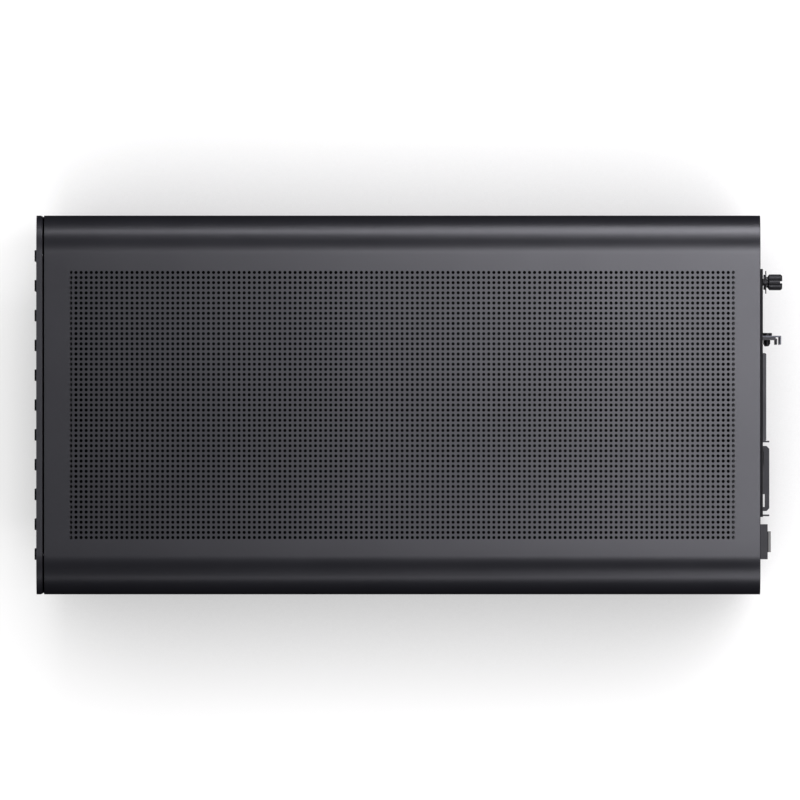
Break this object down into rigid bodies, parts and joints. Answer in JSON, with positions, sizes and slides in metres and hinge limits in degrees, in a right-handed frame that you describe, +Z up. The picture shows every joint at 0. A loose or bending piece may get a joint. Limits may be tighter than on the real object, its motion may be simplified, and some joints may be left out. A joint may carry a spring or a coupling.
{
  "type": "micro-atx computer case",
  "caption": "Slim upright computer case with rounded long edges, perforated lift-off top, ribbed front, pull-off sides, expansion slot covers, mains inlet and round feet.",
  "frame": {"origin": "on the floor, under the middle of the box round the whole case", "axes": "+X from the front to the rear, +Y to the left side seen from the front, +Z up"},
  "size_m": [0.3682, 0.186, 0.295],
  "materials": {
    "cover_finish": "fine matte powder coat",
    "front_finish": "black anodised, bead blasted",
    "frame_finish": "black powder coat",
    "grey_steel": "plain",
    "bright_steel": "zinc plated",
    "black_screw": "black oxide",
    "brass": "turned",
    "black_plastic": "moulded, fine spark texture",
    "gloss_black_plastic": "moulded, gloss",
    "button_finish": "anodised, spun face",
    "blue_plastic": "moulded",
    "circuit_board": "solder mask",
    "rubber": "matt",
    "filter_mesh": "woven nylon mesh"
  },
  "bodies": {
    "chassis": {"front_frame": "frame_finish", "rear_panel": "frame_finish", "base_pan": "frame_finish", "motherboard_tray": "frame_finish", "standoffs": "brass", "top_rail_left": "frame_finish", "top_rail_right": "frame_finish", "panel_clips": "black_plastic", "psu_bracket": "frame_finish", "drive_bracket": "frame_finish", "drive_bracket_screws": "bright_steel", "slot_cover_1": "frame_finish", "slot_cover_2": "frame_finish", "slot_cover_3": "frame_finish", "slot_cover_4": "frame_finish", "slot_clamp": "grey_steel", "slot_screws": "black_screw", "inlet_housing": "black_plastic", "inlet_pins": "bright_steel", "inlet_bracket": "frame_finish", "switch_frame": "black_plastic", "foot_front_left": "black_plastic", "foot_front_right": "black_plastic", "foot_rear_left": "black_plastic", "foot_rear_right": "black_plastic", "foot_pads": "rubber", "foot_screws": "bright_steel", "io_housing": "black_plastic", "io_board": "circuit_board", "power_switch": "black_plastic", "usb_a_shell": "bright_steel", "usb_a_tongue": "blue_plastic", "usb_c_shell": "bright_steel", "usb_c_tongue": "black_plastic", "audio_jack": "black_plastic"},
    "front": {"front_panel": "front_finish", "front_panel_studs": "bright_steel"},
    "cover": {"top_cover": "cover_finish", "cover_studs": "bright_steel", "cover_grip": "black_plastic", "top_filter_frame": "black_plastic", "top_filter_mesh": "filter_mesh"},
    "left_side": {"left_panel": "cover_finish", "left_panel_studs": "bright_steel"},
    "right_side": {"right_panel": "cover_finish", "right_panel_studs": "bright_steel"},
    "washer": {"thumbscrew_washer": "grey_steel"},
    "screw": {"thumbscrew": "black_screw"},
    "filter": {"bottom_filter_frame": "black_plastic", "bottom_filter_mesh": "filter_mesh"},
    "button": {"power_button": "button_finish"},
    "rocker": {"switch_rocker": "gloss_black_plastic"}
  },
  "joints": [
    {"name": "front_pull", "type": "slide", "parent": "chassis", "child": "front", "axis": [-1, 0, 0], "range_m": [0, 0.05]},
    {"name": "cover_lift", "type": "slide", "parent": "chassis", "child": "cover", "axis": [0, 0, 1], "range_m": [0, 0.06]},
    {"name": "left_pull", "type": "slide", "parent": "chassis", "child": "left_side", "axis": [0, 1, 0], "range_m": [0, 0.05]},
    {"name": "right_pull", "type": "slide", "parent": "chassis", "child": "right_side", "axis": [0, -1, 0], "range_m": [0, 0.05]},
    {"name": "filter_slide", "type": "slide", "parent": "chassis", "child": "filter", "axis": [-1, 0, 0], "range_m": [0, 0.25]},
    {"name": "washer_out", "type": "slide", "parent": "chassis", "child": "washer", "axis": [1, 0, 0], "range_m": [0, 0.0035]},
    {"name": "thumbscrew_turn", "type": "hinge", "parent": "washer", "child": "screw", "pos_m": [0.17215, 0.0602, 0.2873], "axis": [1, 0, 0], "range_deg": [0, 1800]},
    {"name": "button_press", "type": "slide", "parent": "chassis", "child": "button", "axis": [1, 0, 0], "range_m": [0, 0.0012], "stiffness_N_per_m": 900},
    {"name": "rocker_tip", "type": "hinge", "parent": "chassis", "child": "rocker", "pos_m": [0.17505, -0.0681, 0.028], "axis": [0, 1, 0], "range_deg": [0, 16]}
  ],
  "couplings": [
    {"joint": "thumbscrew_turn", "follows": "washer_out", "rad_per_m": 8975.9}
  ]
}
